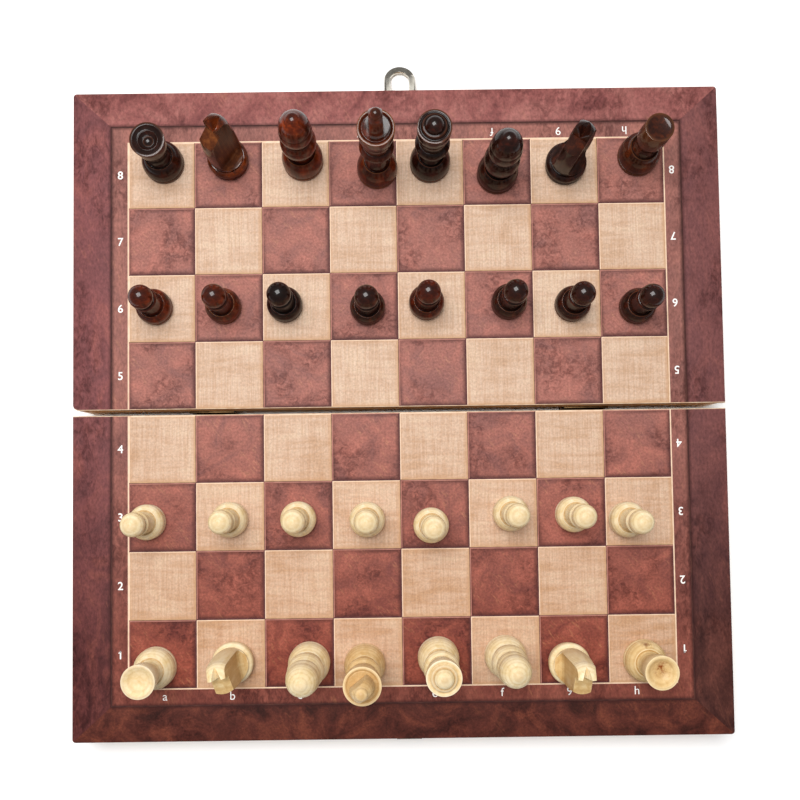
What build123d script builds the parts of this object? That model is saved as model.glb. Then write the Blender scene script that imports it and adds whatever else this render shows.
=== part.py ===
from build123d import *
import math
import os

# Chess set on a folding board. Millimetres, +Z up, +X to the right, +Y to the far (black) side.
# The board lies open on its rims, playing faces up. Z = 0 is the plane that the rims rest on.

# Playing field and what is printed around it
square = 30.0
files = 8
ranks_per_half = 4
side_strip = 7.2
side_border = 17.1
end_strip = 7.0
end_border = 15.5

# Two half boxes, each a thin panel over four rails
panel_thickness = 3.0
rail_height = 19.0
rail_thickness = 8.0
half_gap = 2.4
outer_corner_round = 1.5
hinge_corner_round = 2.5

# Shallow pressed lines in the panel faces
grid_line_width = 0.3
grid_line_depth = 0.15
border_line_width = 0.6
border_line_depth = 0.3

# Butt hinges on the facing sides of the hinge rails
hinge_spacing = 170.0
leaf_width = 20.0
leaf_height = 11.0
leaf_thickness = 0.8
barrel_radius = 0.9
hinge_pin_radius = 0.45
hinge_running_clearance = 0.05
knuckle_clearance = 0.2
leaf_screw_spacing = 12.0

# Countersunk screws of the hinges, the clasp plate and the catch plate
screw_length = 6.0
screw_radius = 0.7
screw_head_radius = 1.4
screw_head_depth = 0.6
screw_clearance = 0.03

# Clasp on the far end rail: a plate with a knuckle, and a bent bail that turns in it
clasp_offset = 2.5
clasp_pivot_drop = 8.0
clasp_pivot_reach = 1.5
clasp_knuckle_length = 8.2
clasp_knuckle_radius = 1.1
clasp_plate_width = 13.0
clasp_plate_height = 8.0
clasp_plate_thickness = 0.8
clasp_screw_spacing = 6.0
bail_length = 22.4
bail_strip = 2.8
bail_thickness = 0.8
bail_side_clearance = 0.3
bail_end = 1.2
bail_tip_bend = 18.0
bail_bent_length = 4.2
bail_pin_radius = 0.6
bail_pin_length = 2.4
bail_running_clearance = 0.08

# Catch on the near end rail, which the bail closes over; its plate covers the joint of rail and panel
catch_plate_width = 11.0
catch_plate_cover = 1.0
catch_hook_width = 4.4
catch_hook_thickness = 0.8
catch_lip_height = 0.7
catch_clearance = 0.4

# Foot that all turned pieces share
foot_edge = 2.0
foot_groove_width = 0.5
foot_groove_depth = 0.4
foot_bell_bulge_height = 0.9
foot_step = 0.8

# King and queen
royal_foot_diameter = 17.9
royal_bell_diameter = 11.6
royal_bell_height = 8.5
royal_waist_diameter = 10.4
royal_waist_hollow_depth = 1.1
royal_collar_diameter = 14.8
royal_collar_height = 5.6
royal_collar_bulge_height = 1.5
royal_neck_diameter = 11.2
royal_neck_height = 1.0
crown_flare_bulge_height = 0.5
crown_rim_height = 1.3
crown_rim_width = 0.9
king_waist_height = 12.5
king_crown_diameter = 15.2
king_crown_height = 12.9
king_dish_depth = 0.8
finial_diameter = 9.6
finial_thickness = 5.4
finial_straight = 5.2
finial_shoulder_height = 7.0
finial_shoulder_bulge_height = 0.6
finial_top_diameter = 5.2
finial_dome_height = 2.6
queen_waist_height = 8.6
queen_crown_diameter = 14.2
queen_crown_height = 11.4
queen_groove_width = 1.2
queen_groove_depth = 0.35
queen_button_diameter = 8.4
queen_button_step = 0.9
queen_dome_diameter = 6.8
queen_dome_height = 3.3

# Bishop
bishop_foot_diameter = 17.9
bishop_bell_diameter = 13.0
bishop_bell_height = 8.0
bishop_waist_height = 2.4
bishop_waist_hollow_depth = 0.4
bishop_collar_diameter = 15.4
bishop_collar_height = 10.6
bishop_collar_bulge_height = 1.7
bishop_neck_diameter = 10.4
bishop_neck_height = 1.2
bishop_lip_diameter = 11.2
bishop_head_diameter = 12.2
bishop_head_low = 7.0
bishop_head_low_bulge_height = 0.35
bishop_head_high = 8.0
bishop_head_high_bulge_height = 1.1
bishop_tip_diameter = 6.0
bishop_tip_height = 1.6

# Rook
rook_foot_diameter = 17.9
rook_bell_diameter = 12.0
rook_bell_height = 7.0
rook_waist_height = 5.0
rook_waist_hollow_depth = 0.4
rook_waist_diameter = 9.0
rook_cove_height = 4.0
rook_cove_hollow_depth = 0.6
rook_head_diameter = 12.4
rook_head_height = 8.6
rook_top_diameter = 14.0
rook_rim_width = 1.1
rook_dish_depth = 2.8

# Pawn
pawn_foot_diameter = 15.2
pawn_bell_diameter = 11.2
pawn_bell_height = 5.6
pawn_neck_height = 9.2
pawn_neck_hollow_depth = 0.3
pawn_collar_diameter = 10.6
pawn_collar_height = 2.2
pawn_collar_bulge_height = 1.0
pawn_throat_diameter = 7.6
pawn_head_diameter = 10.2

# Knight: a turned blank, sawn on both cheeks, across the nose, and between the ears
knight_foot_diameter = 17.0
knight_bell_diameter = 15.4
knight_bell_height = 3.8
knight_groove_depth = 0.7
knight_groove_width = 0.9
knight_body_diameter = 14.8
knight_body_height = 22.4
knight_body_bulge_height = 0.7
knight_poll_diameter = 13.4
knight_poll_height = 7.2
knight_head_thickness = 7.2
knight_cheek_radius = 3.6
knight_cheek_back = 3.4
knight_cheek_height = 11.5
knight_brow_reach = 0.8
knight_brow_height = 30.4
knight_nose_slope = 27.0
knight_ear_notch_angle = 42.0
knight_ear_notch_slope = 33.0

# Hand-made pieces that are taller or shorter than their fellows, or carved another way
tall_rook_extra_height = 4.0
tall_rook_top_diameter = 12.0
tall_rook_dish_depth = 0.6
short_rook_lost_height = 2.0
tall_bishop_extra_height = 3.5
short_bishop_lost_height = 2.5
short_king_lost_height = 5.5
tall_knight_extra_height = 2.5
middling_knight_extra_height = 1.0
black_ear_notch_angle = 62.0
white_brow_reach = -0.6

# Where each piece stands: its nudge to the right and away from the middle of its square, in steps of
# this length, its turn, and which sizes are its own
nudge_step = 0.1
black_rank = 8
black_pawn_rank = 6
white_pawn_rank = 3
white_rank = 1
back_row = ["rook_a", "knight_b", "bishop_c", "king", "queen", "bishop_f", "knight_g", "rook_h"]
pawn_row = ["pawn_a", "pawn_b", "pawn_c", "pawn_d", "pawn_e", "pawn_f", "pawn_g", "pawn_h"]
black_nudges = [
    (15, 50), (5, 58), (36, 54), (66, 14), (1, 38), (-1, -16), (2, 19), (29, 57),
]
black_pawn_nudges = [
    (-24, 2), (-20, 2), (-49, 6), (16, -10), (-24, 8), (40, 6), (20, -7), (6, -21),
]
white_pawn_nudges = [
    (-57, -19), (4, -13), (3, -14), (3, -20), (-19, -48), (29, -2), (3, -9), (-62, -35),
]
white_nudges = [
    (-25, -51), (15, -30), (44, -38), (-15, -50), (5, -23), (-4, -21), (-30, -52), (1, -47),
]
turns = {
    "black_knight_b": -38.0,
    "black_knight_g": -34.0,
    "white_knight_b": 13.0,
    "white_knight_g": -2.0,
    "black_king": 94.0,
    "white_king": 38.0,
}
special_sizes = {
    "black_rook_h": {
        "longer": tall_rook_extra_height,
        "top_diameter": tall_rook_top_diameter,
        "dish_depth": tall_rook_dish_depth,
    },
    "white_rook_h": {"longer": -short_rook_lost_height},
    "black_bishop_c": {"longer": tall_bishop_extra_height},
    "white_bishop_f": {"longer": -short_bishop_lost_height},
    "white_king": {"longer": -short_king_lost_height},
    "black_knight_b": {"longer": tall_knight_extra_height, "notch_angle": black_ear_notch_angle},
    "black_knight_g": {"longer": middling_knight_extra_height, "notch_angle": black_ear_notch_angle},
    "white_knight_b": {"longer": middling_knight_extra_height, "brow_reach": white_brow_reach},
    "white_knight_g": {"brow_reach": white_brow_reach},
}

# Derived sizes and places
field_width = files * square
board_width = field_width + 2 * (side_strip + side_border)
half_length = ranks_per_half * square + end_strip + end_border
half_thickness = rail_height + panel_thickness
clasp_pivot_height = rail_height - clasp_pivot_drop
bail_rise = bail_bent_length * math.tan(math.radians(bail_tip_bend))
bail_tip_low = bail_rise - bail_thickness / 2
bail_tip_high = bail_rise + bail_thickness / 2
bail_tip_length = math.hypot(bail_length, bail_tip_low)
bail_tilt = math.asin(clasp_pivot_height / bail_tip_length) + math.atan2(bail_tip_low, bail_length)
bail_reach = clasp_pivot_reach + bail_length * math.cos(bail_tilt) + bail_tip_high * math.sin(bail_tilt)
bail_inner_width = clasp_knuckle_length + 2 * bail_side_clearance
bail_outer_width = bail_inner_width + 2 * bail_strip
bail_straight = bail_length - bail_outer_width / 2
catch_reach = clasp_pivot_reach + bail_thickness / 2 + catch_clearance + catch_hook_thickness
catch_room = bail_straight + math.sqrt(bail_inner_width**2 - catch_hook_width**2) / 2 - catch_clearance
catch_top = math.sqrt(catch_room**2 - (catch_reach - clasp_pivot_reach) ** 2) - clasp_pivot_height
hinge_y = (catch_reach - bail_reach) / 2
far_face = hinge_y + half_gap / 2 + half_length
near_face = hinge_y - half_gap / 2 - half_length
hinge_places = (-hinge_spacing / 2, hinge_spacing / 2)
leaf_foot = barrel_radius + knuckle_clearance
leaf_screw_height = leaf_foot + leaf_height / 2
plate_screw_height = clasp_pivot_height + clasp_plate_height - screw_head_radius - clasp_knuckle_radius


class Outline:
    """Half outline of a turned piece, drawn upwards from the middle of its foot."""

    def __init__(self, radius, height=0.0):
        self.start = height
        self.at = (radius, height)
        self.edges = [Line((0, height), self.at)]

    def line(self, radius, rise=0.0):
        end = (radius, self.at[1] + rise)
        self.edges.append(Line(self.at, end))
        self.at = end
        return self

    def curve(self, radius, rise, bulge):
        """An arc whose middle stands out from its chord by bulge, or in from it where that is negative."""
        end = (radius, self.at[1] + rise)
        chord = math.hypot(end[0] - self.at[0], rise)
        out = (rise / chord, (self.at[0] - end[0]) / chord)
        middle = tuple((self.at[k] + end[k]) / 2 + bulge * out[k] for k in range(2))
        self.edges.append(ThreePointArc(self.at, middle, end))
        self.at = end
        return self

    def cap(self, rise):
        """A round cap this high, or a dish where rise is negative, that closes the outline on the axis."""
        radius = (self.at[0] ** 2 + rise**2) / (2 * rise)
        top = self.at[1] + rise
        sign = math.copysign(1, rise)
        turn = math.atan2(sign * self.at[0], sign * (radius - rise)) / 2
        middle = (radius * math.sin(turn), top - radius + radius * math.cos(turn))
        self.edges.append(ThreePointArc(self.at, middle, (0, top)))
        self.at = (0, top)
        return self

    def ball(self, radius):
        """The rest of a ball of this radius, from its neck to its top."""
        return self.cap(radius + math.sqrt(radius**2 - self.at[0] ** 2))

    def solid(self):
        if self.at[0] > 0:
            self.line(0)
        self.edges.append(Line(self.at, (0, self.start)))
        outline = Curve() + self.edges
        return revolve(make_face(Plane.XZ * outline), Axis.Z)


def foot(diameter, bell_diameter, bell_height):
    """Upright edge, a turned groove, and a bell that ends in a small step."""
    return (
        Outline(diameter / 2)
        .line(diameter / 2, foot_edge)
        .curve(diameter / 2, foot_groove_width, -foot_groove_depth)
        .curve(bell_diameter / 2, bell_height, foot_bell_bulge_height)
        .line(bell_diameter / 2 - foot_step)
    )


def royal_stem(waist_height):
    waist = royal_waist_diameter / 2
    neck = royal_neck_diameter / 2
    bead = royal_collar_diameter / 2 - royal_collar_bulge_height
    return (
        foot(royal_foot_diameter, royal_bell_diameter, royal_bell_height)
        .curve(waist, waist_height, -royal_waist_hollow_depth)
        .line(bead)
        .curve(bead, royal_collar_height, royal_collar_bulge_height)
        .line(neck)
        .line(neck, royal_neck_height)
    )


def king(longer=0.0):
    rim = king_crown_diameter / 2
    body = (
        royal_stem(king_waist_height + longer)
        .curve(rim, king_crown_height, crown_flare_bulge_height)
        .line(rim, crown_rim_height)
        .line(rim - crown_rim_width)
        .cap(-king_dish_depth)
    )
    finial_foot = body.at[1]
    finial = (
        Outline(finial_diameter / 2, finial_foot - king_dish_depth)
        .line(finial_diameter / 2, king_dish_depth + finial_straight)
        .curve(finial_top_diameter / 2, finial_shoulder_height, finial_shoulder_bulge_height)
        .cap(finial_dome_height)
    )
    tab_height = 2 * (finial.at[1] - finial_foot)
    tab = Pos(0, 0, finial_foot) * Box(finial_diameter, finial_thickness, tab_height)
    return body.solid() + (finial.solid() & tab)


def queen():
    rim = queen_crown_diameter / 2
    inner = rim - crown_rim_width - queen_groove_width
    return (
        royal_stem(queen_waist_height)
        .curve(rim, queen_crown_height, crown_flare_bulge_height)
        .line(rim, crown_rim_height)
        .line(rim - crown_rim_width)
        .curve(inner, 0, -queen_groove_depth)
        .line(queen_button_diameter / 2, queen_button_step)
        .line(queen_dome_diameter / 2)
        .cap(queen_dome_height)
        .solid()
    )


def bishop(longer=0.0):
    neck = bishop_neck_diameter / 2
    bead = bishop_collar_diameter / 2 - bishop_collar_bulge_height
    return (
        foot(bishop_foot_diameter, bishop_bell_diameter, bishop_bell_height + longer / 2)
        .curve(bead, bishop_waist_height + longer / 2, -bishop_waist_hollow_depth)
        .curve(bead, bishop_collar_height, bishop_collar_bulge_height)
        .line(neck)
        .line(neck, bishop_neck_height)
        .line(bishop_lip_diameter / 2)
        .curve(bishop_head_diameter / 2, bishop_head_low, bishop_head_low_bulge_height)
        .curve(bishop_tip_diameter / 2, bishop_head_high, bishop_head_high_bulge_height)
        .cap(bishop_tip_height)
        .solid()
    )


def rook(longer=0.0, top_diameter=rook_top_diameter, dish_depth=rook_dish_depth):
    top = top_diameter / 2
    bell_height = rook_bell_height + longer / 2
    head_height = rook_head_height + longer / 2
    return (
        foot(rook_foot_diameter, rook_bell_diameter, bell_height)
        .curve(rook_waist_diameter / 2, rook_waist_height, -rook_waist_hollow_depth)
        .curve(rook_head_diameter / 2, rook_cove_height, -rook_cove_hollow_depth)
        .line(top, head_height)
        .line(top - rook_rim_width)
        .cap(-dish_depth)
        .solid()
    )


def pawn():
    throat = pawn_throat_diameter / 2
    bead = pawn_collar_diameter / 2 - pawn_collar_bulge_height
    return (
        foot(pawn_foot_diameter, pawn_bell_diameter, pawn_bell_height)
        .curve(throat, pawn_neck_height, -pawn_neck_hollow_depth)
        .line(bead)
        .curve(bead, pawn_collar_height, pawn_collar_bulge_height)
        .line(throat)
        .ball(pawn_head_diameter / 2)
        .solid()
    )


def knight(longer=0.0, brow_reach=knight_brow_reach, notch_angle=knight_ear_notch_angle):
    """The nose points to -Y; each cheek is hollowed from the front, and the back of the neck stays round."""
    blank = (
        foot(knight_foot_diameter, knight_bell_diameter, knight_bell_height)
        .curve(knight_body_diameter / 2, knight_groove_width, -knight_groove_depth)
        .curve(knight_poll_diameter / 2, knight_body_height + longer, knight_body_bulge_height)
        .cap(knight_poll_height)
    )
    crest = blank.at[1]
    wide = 2 * crest
    cheek_x = knight_head_thickness / 2 + knight_cheek_radius
    end = Sphere(knight_cheek_radius) + Pos(0, 0, wide / 2) * Cylinder(knight_cheek_radius, wide)
    low = Pos(0, -wide / 2, 0) * Rot(90, 0, 0) * Cylinder(knight_cheek_radius, wide)
    high = Pos(0, -wide / 2, wide / 2) * Box(2 * knight_cheek_radius, wide, wide)
    cheek = Pos(cheek_x, knight_cheek_back, knight_cheek_height) * (end + low + high)
    brow = Pos(0, -brow_reach, knight_brow_height + longer)
    drop = wide * math.tan(math.radians(knight_nose_slope))
    nose = Polyline((0, 0), (0, wide), (-wide, wide), (-wide, -drop), close=True)
    nose_cut = brow * extrude(make_face(Plane.YZ * nose), wide, both=True)
    notch_half = wide * math.tan(math.radians(notch_angle / 2))
    notch = Polyline((0, 0), (notch_half, wide), (-notch_half, wide), close=True)
    notch_cut = extrude(make_face(Plane.XZ * notch), -wide)
    notch_cut = brow * Rot(knight_ear_notch_slope, 0, 0) * notch_cut
    return blank.solid() - cheek - mirror(cheek, Plane.YZ) - nose_cut - notch_cut


def panel(far):
    """Printed panel of the near half; the far one is its copy, turned about the hinge line."""
    top = half_thickness
    middle_y = -half_gap / 2 - half_length / 2
    blank = Pos(0, middle_y, top - panel_thickness / 2) * Box(board_width, half_length, panel_thickness)
    outer = blank.edges().filter_by(Axis.Z).group_by(Axis.Y)[0]
    blank = fillet(outer, outer_corner_round)
    field_y = -half_gap / 2 - ranks_per_half * square
    lines = []
    for file in range(files + 1):
        x = file * square - field_width / 2
        size = (grid_line_width, ranks_per_half * square, 2 * grid_line_depth)
        lines.append(Pos(x, field_y / 2 - half_gap / 4, top) * Box(*size))
    for rank in range(ranks_per_half):
        size = (field_width, grid_line_width, 2 * grid_line_depth)
        lines.append(Pos(0, field_y + rank * square, top) * Box(*size))
    strip_x = field_width / 2 + side_strip
    strip_y = field_y - end_strip
    for side in (-1, 1):
        size = (border_line_width, -half_gap / 2 - strip_y, 2 * border_line_depth)
        lines.append(Pos(side * strip_x, (strip_y - half_gap / 2) / 2, top) * Box(*size))
    lines.append(Pos(0, strip_y, top) * Box(2 * strip_x, border_line_width, 2 * border_line_depth))
    return on_half(blank - lines, far)


def on_half(shape, far):
    """Moves a shape of the near half, drawn with the hinge line at Y = 0, to its half."""
    if far:
        shape = Rot(0, 0, 180) * shape
    return Pos(0, hinge_y, 0) * shape


def end_rail(far):
    y = -half_gap / 2 - half_length + rail_thickness / 2
    rail = Pos(0, y, rail_height / 2) * Box(board_width, rail_thickness, rail_height)
    rail = fillet(rail.edges().filter_by(Axis.Z).group_by(Axis.Y)[0], outer_corner_round)
    holes_x = -clasp_offset if far else clasp_offset
    depth = screw_length - clasp_plate_thickness
    for side in (-1, 1):
        hole = Cylinder(screw_radius + screw_clearance, 2 * depth)
        x = holes_x + side * clasp_screw_spacing / 2
        rail -= Pos(x, -half_gap / 2 - half_length, plate_screw_height) * Rot(90, 0, 0) * hole
    return on_half(rail, far)


def hinge_rail(far):
    y = -half_gap / 2 - rail_thickness / 2
    rail = Pos(0, y, rail_height / 2) * Box(board_width, rail_thickness, rail_height)
    rail = fillet(rail.edges().filter_by(Axis.Z).group_by(Axis.Y)[-1], hinge_corner_round)
    depth = screw_length - leaf_thickness
    for x in leaf_screw_places():
        hole = Cylinder(screw_radius + screw_clearance, 2 * depth)
        rail -= Pos(x, -half_gap / 2, leaf_screw_height) * Rot(90, 0, 0) * hole
    return on_half(rail, far)


def side_rail(far, right):
    length = half_length - 2 * rail_thickness
    x = (board_width - rail_thickness) / 2
    # A half turn puts the far half's left rail on the right
    x = x if right != far else -x
    y = -half_gap / 2 - half_length / 2
    rail = Pos(x, y, rail_height / 2) * Box(rail_thickness, length, rail_height)
    return on_half(rail, far)


def leaf_screw_places():
    return [x + side * leaf_screw_spacing / 2 for x in hinge_places for side in (-1, 1)]


def screw():
    """Countersunk screw with its head's face at Z = 0, pointing down."""
    return (
        Outline(screw_radius, -screw_length)
        .line(screw_radius, screw_length - screw_head_depth)
        .line(screw_head_radius, screw_head_depth)
        .solid()
    )


def countersink():
    """What a screw's head needs cut from a thin plate whose face is at Z = 0."""
    return (
        Outline(screw_radius + screw_clearance, -screw_length)
        .line(screw_radius + screw_clearance, screw_length - screw_head_depth)
        .line(screw_head_radius + screw_clearance, screw_head_depth)
        .line(screw_head_radius + screw_clearance, screw_head_depth)
        .solid()
    )


def leaf(x, far):
    """One hinge leaf: a plate on the rail, and its share of the three knuckles around the pin."""
    plate_y = -half_gap / 2 + leaf_thickness / 2
    plate = Pos(x, plate_y, leaf_foot + leaf_height / 2) * Box(leaf_width, leaf_thickness, leaf_height)
    knuckle = leaf_width / 3
    middles = [x] if far else [x - knuckle, x + knuckle]
    for middle in middles:
        length = knuckle - knuckle_clearance
        barrel = Rot(0, 90, 0) * Cylinder(barrel_radius, length)
        web = Pos(0, plate_y, leaf_foot / 2) * Box(length, leaf_thickness, leaf_foot)
        plate += Pos(middle, 0, 0) * (barrel + web)
    bore = Rot(0, 90, 0) * Cylinder(hinge_pin_radius + hinge_running_clearance, 2 * leaf_width)
    plate -= Pos(x, 0, 0) * bore
    for side in (-1, 1):
        place = Pos(x + side * leaf_screw_spacing / 2, plate_y + leaf_thickness / 2, leaf_screw_height)
        plate -= place * Rot(-90, 0, 0) * countersink()
    return on_half(plate, far)


def hinge_pin(x):
    return Pos(x, hinge_y, 0) * Rot(0, 90, 0) * Cylinder(hinge_pin_radius, leaf_width)


def hinge_screws(far):
    y = -half_gap / 2 + leaf_thickness
    group = [Pos(x, y, leaf_screw_height) * Rot(-90, 0, 0) * screw() for x in leaf_screw_places()]
    return on_half(Part() + group, far)


def plate_screws(far):
    face = far_face + clasp_plate_thickness if far else near_face - clasp_plate_thickness
    turn = Rot(-90, 0, 0) if far else Rot(90, 0, 0)
    places = [clasp_offset + side * clasp_screw_spacing / 2 for side in (-1, 1)]
    return Part() + [Pos(x, face, plate_screw_height) * turn * screw() for x in places]


def clasp_plate():
    """Plate on the far end rail, narrowed to its knuckle between the legs of the bail."""
    low = clasp_pivot_height + clasp_knuckle_radius
    y = clasp_plate_thickness / 2
    blank = Box(clasp_plate_width, clasp_plate_thickness, clasp_plate_height)
    wide = Pos(0, y, low + clasp_plate_height / 2) * blank
    tongue_height = clasp_knuckle_radius + clasp_plate_height / 2
    tongue_z = clasp_pivot_height + tongue_height / 2
    tongue = Pos(0, y, tongue_z) * Box(clasp_knuckle_length, clasp_plate_thickness, tongue_height)
    across = Pos(0, clasp_pivot_reach, clasp_pivot_height) * Rot(0, 90, 0)
    plate = wide + tongue + across * Cylinder(clasp_knuckle_radius, clasp_knuckle_length)
    plate -= across * Cylinder(bail_pin_radius + bail_running_clearance, 2 * clasp_knuckle_length)
    for side in (-1, 1):
        place = Pos(side * clasp_screw_spacing / 2, clasp_plate_thickness, plate_screw_height)
        plate -= place * Rot(-90, 0, 0) * countersink()
    return Pos(clasp_offset, far_face, 0) * plate


def clasp_bail():
    """Arch of flat strip with its end bent, and a pin on each leg; it lies with its tip on the table."""
    outer = bail_outer_width / 2
    inner = bail_inner_width / 2
    arch = [
        Line((-outer, -bail_end), (-outer, bail_straight)),
        ThreePointArc((-outer, bail_straight), (0, bail_length), (outer, bail_straight)),
        Line((outer, bail_straight), (outer, -bail_end)),
        Line((outer, -bail_end), (inner, -bail_end)),
        Line((inner, -bail_end), (inner, bail_straight)),
        ThreePointArc((inner, bail_straight), (0, bail_straight + inner), (-inner, bail_straight)),
        Line((-inner, bail_straight), (-inner, -bail_end)),
        Line((-inner, -bail_end), (-outer, -bail_end)),
    ]
    flat = extrude(make_face(Curve() + arch), 2 * bail_bent_length, both=True)
    crease = bail_length - bail_bent_length
    half = bail_thickness / 2
    side = Polyline(
        (-bail_end, -half),
        (crease, -half),
        (bail_length, bail_tip_low),
        (bail_length, bail_tip_high),
        (crease, half),
        (-bail_end, half),
        close=True,
    )
    strip = extrude(make_face(Plane.YZ * side), bail_outer_width, both=True)
    pin = Rot(0, 90, 0) * Cylinder(bail_pin_radius, bail_pin_length + bail_strip / 2)
    pin_x = inner + bail_strip / 4 - bail_pin_length / 2
    bail = (flat & strip) + Pos(pin_x, 0, 0) * pin + Pos(-pin_x, 0, 0) * pin
    pivot = Pos(clasp_offset, far_face + clasp_pivot_reach, clasp_pivot_height)
    return pivot * Rot(-math.degrees(bail_tilt), 0, 0) * bail


def catch_plate():
    """Plate on the near end rail with an upturned hook that holds the bail's arch."""
    shelf_top = catch_top - catch_lip_height
    low = shelf_top - catch_hook_thickness
    height = rail_height + catch_plate_cover - low
    y = -clasp_plate_thickness / 2
    plate = Pos(0, y, low + height / 2) * Box(catch_plate_width, clasp_plate_thickness, height)
    shelf = Pos(0, -catch_reach / 2, shelf_top - catch_hook_thickness / 2)
    plate += shelf * Box(catch_hook_width, catch_reach, catch_hook_thickness)
    lip_height = catch_top - low
    lip = Pos(0, catch_hook_thickness / 2 - catch_reach, low + lip_height / 2)
    plate += lip * Box(catch_hook_width, catch_hook_thickness, lip_height)
    for side in (-1, 1):
        place = Pos(side * clasp_screw_spacing / 2, -clasp_plate_thickness, plate_screw_height)
        plate -= place * Rot(90, 0, 0) * countersink()
    return Pos(clasp_offset, near_face, 0) * plate


def square_centre(file, rank):
    x = (file + 0.5) * square - field_width / 2
    from_hinge = (rank - 0.5 - ranks_per_half) * square
    gap = half_gap / 2 if rank > ranks_per_half else -half_gap / 2
    return x, hinge_y + from_hinge + gap


def set_out(colour, names, rank, nudges):
    """One row of pieces, each standing on its square."""
    shapes = {"king": king, "queen": queen, "bishop": bishop, "rook": rook, "knight": knight, "pawn": pawn}
    row = {}
    for file, name in enumerate(names):
        kind = name.split("_")[0]
        x, y = square_centre(file, rank)
        right, away = nudges[file]
        node = f"{colour}_{name}"
        turn = Rot(0, 0, turns.get(node, 0.0))
        piece = shapes[kind](**special_sizes.get(node, {}))
        place = Pos(x + right * nudge_step, y + away * nudge_step, half_thickness)
        row[node] = place * turn * piece
    return row


nodes = {}
for half, far in (("near", False), ("far", True)):
    nodes[f"{half}_panel"] = panel(far)
    nodes[f"{half}_end_rail"] = end_rail(far)
    nodes[f"{half}_hinge_rail"] = hinge_rail(far)
    nodes[f"{half}_left_rail"] = side_rail(far, right=False)
    nodes[f"{half}_right_rail"] = side_rail(far, right=True)
    nodes[f"{half}_hinge_screws"] = hinge_screws(far)
for side, x in zip(("left", "right"), hinge_places):
    nodes[f"{side}_hinge_near_leaf"] = leaf(x, False)
    nodes[f"{side}_hinge_far_leaf"] = leaf(-x, True)
    nodes[f"{side}_hinge_pin"] = hinge_pin(x)
nodes["clasp_plate"] = clasp_plate()
nodes["clasp_bail"] = clasp_bail()
nodes["catch_plate"] = catch_plate()
nodes["clasp_plate_screws"] = plate_screws(True)
nodes["catch_plate_screws"] = plate_screws(False)
nodes |= set_out("black", back_row, black_rank, black_nudges)
nodes |= set_out("black", pawn_row, black_pawn_rank, black_pawn_nudges)
nodes |= set_out("white", pawn_row, white_pawn_rank, white_pawn_nudges)
nodes |= set_out("white", back_row, white_rank, white_nudges)

os.makedirs("parts", exist_ok=True)
for name, shape in nodes.items():
    export_step(shape, f"parts/{name}.step")
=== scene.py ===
import math

import bmesh
import bpy
from mathutils import Matrix, Vector


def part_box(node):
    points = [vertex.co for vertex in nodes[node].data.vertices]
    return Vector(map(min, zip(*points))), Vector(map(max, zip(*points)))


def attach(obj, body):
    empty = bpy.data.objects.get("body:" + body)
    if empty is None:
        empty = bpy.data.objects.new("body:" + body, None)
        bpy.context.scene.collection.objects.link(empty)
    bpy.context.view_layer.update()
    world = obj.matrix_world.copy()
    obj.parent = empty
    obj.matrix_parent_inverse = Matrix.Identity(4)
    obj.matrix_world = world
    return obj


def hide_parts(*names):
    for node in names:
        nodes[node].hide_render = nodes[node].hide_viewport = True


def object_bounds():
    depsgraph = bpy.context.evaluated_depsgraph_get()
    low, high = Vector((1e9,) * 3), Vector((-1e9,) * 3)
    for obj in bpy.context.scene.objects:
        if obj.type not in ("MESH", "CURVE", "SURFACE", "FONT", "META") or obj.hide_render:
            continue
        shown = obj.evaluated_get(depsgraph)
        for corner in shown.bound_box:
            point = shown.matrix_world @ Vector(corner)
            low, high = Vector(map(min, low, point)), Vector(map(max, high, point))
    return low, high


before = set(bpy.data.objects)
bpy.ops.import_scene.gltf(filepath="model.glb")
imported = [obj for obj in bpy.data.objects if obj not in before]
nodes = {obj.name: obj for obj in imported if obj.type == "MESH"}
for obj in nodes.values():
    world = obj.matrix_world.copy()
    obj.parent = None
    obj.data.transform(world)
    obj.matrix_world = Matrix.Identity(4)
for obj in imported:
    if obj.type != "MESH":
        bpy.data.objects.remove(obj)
cad_low, cad_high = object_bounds()

# Lengths are drawn in millimetres and laid down in metres
MM = 0.001

# The printed field, as the panels carry it
SQUARE = 30.0
FILES = 8
RANKS_PER_HALF = 4
FIELD_HALF_WIDTH = FILES * SQUARE / 2
FIELD_LENGTH = RANKS_PER_HALF * SQUARE
SIDE_STRIP = 7.2
END_STRIP = 7.0
GRID_LINE_WIDTH = 0.24
GRID_LINE_DEPTH = 0.12
BORDER_LINE_WIDTH = 0.6
BORDER_LINE_DEPTH = 0.25
BORDER_LINE_SHADE = 1.3
STRINGING_WIDTH = 0.55
SQUARE_EDGE_WIDTH = 0.4
SQUARE_SHADE_WIDTH = 1.7
PANEL_CORNER_ROUND = 1.5
WORN_CORNER_ROUND = 2.6
PANEL_EDGE_SOFTNESS = 0.35
PRESSED_LINE_SLOPE = 0.02
LIT_CORNER_SHADE = 0.35
DIGIT_SIZE = 5.0
LETTER_SIZE = 5.2
LETTER_PITCH = {"far": 29.65, "near": 29.4}
LETTER_DRIFT = {"far": 1.3, "near": 0.9}
LETTER_RISE = 0.4
# The printed g has one bowl and a hooked tail, the form that 9 has in the font
GLYPHS = {"g": "9"}
DIGIT_INSET = 0.4
DIGIT_BOLDNESS = 0.06
FLAG_LENGTH = 1.4
FLAG_WIDTH = 0.42
FLAG_SLANT = math.radians(38)
INK_THICKNESS = 0.02

# Turning, wear and softened edges
TURNING_STEPS = 96
OUTLINE_STEP = 0.6
FEWEST_ARC_STEPS = 3
TURNED_EDGE_SOFTNESS = 0.22
CARVED_EDGE_SOFTNESS = 0.2
FINIAL_EDGE_SOFTNESS = 0.3
FINIAL_TURNED_SOFTNESS = 0.05
SMOOTH_ANGLE = math.radians(12)
WEAR_ANGLE = math.radians(24)
TURNED_CORNER_ANGLE = math.radians(24)
CUT_SPREAD = 0.55
END_GRAIN_FROM = 0.7

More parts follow.
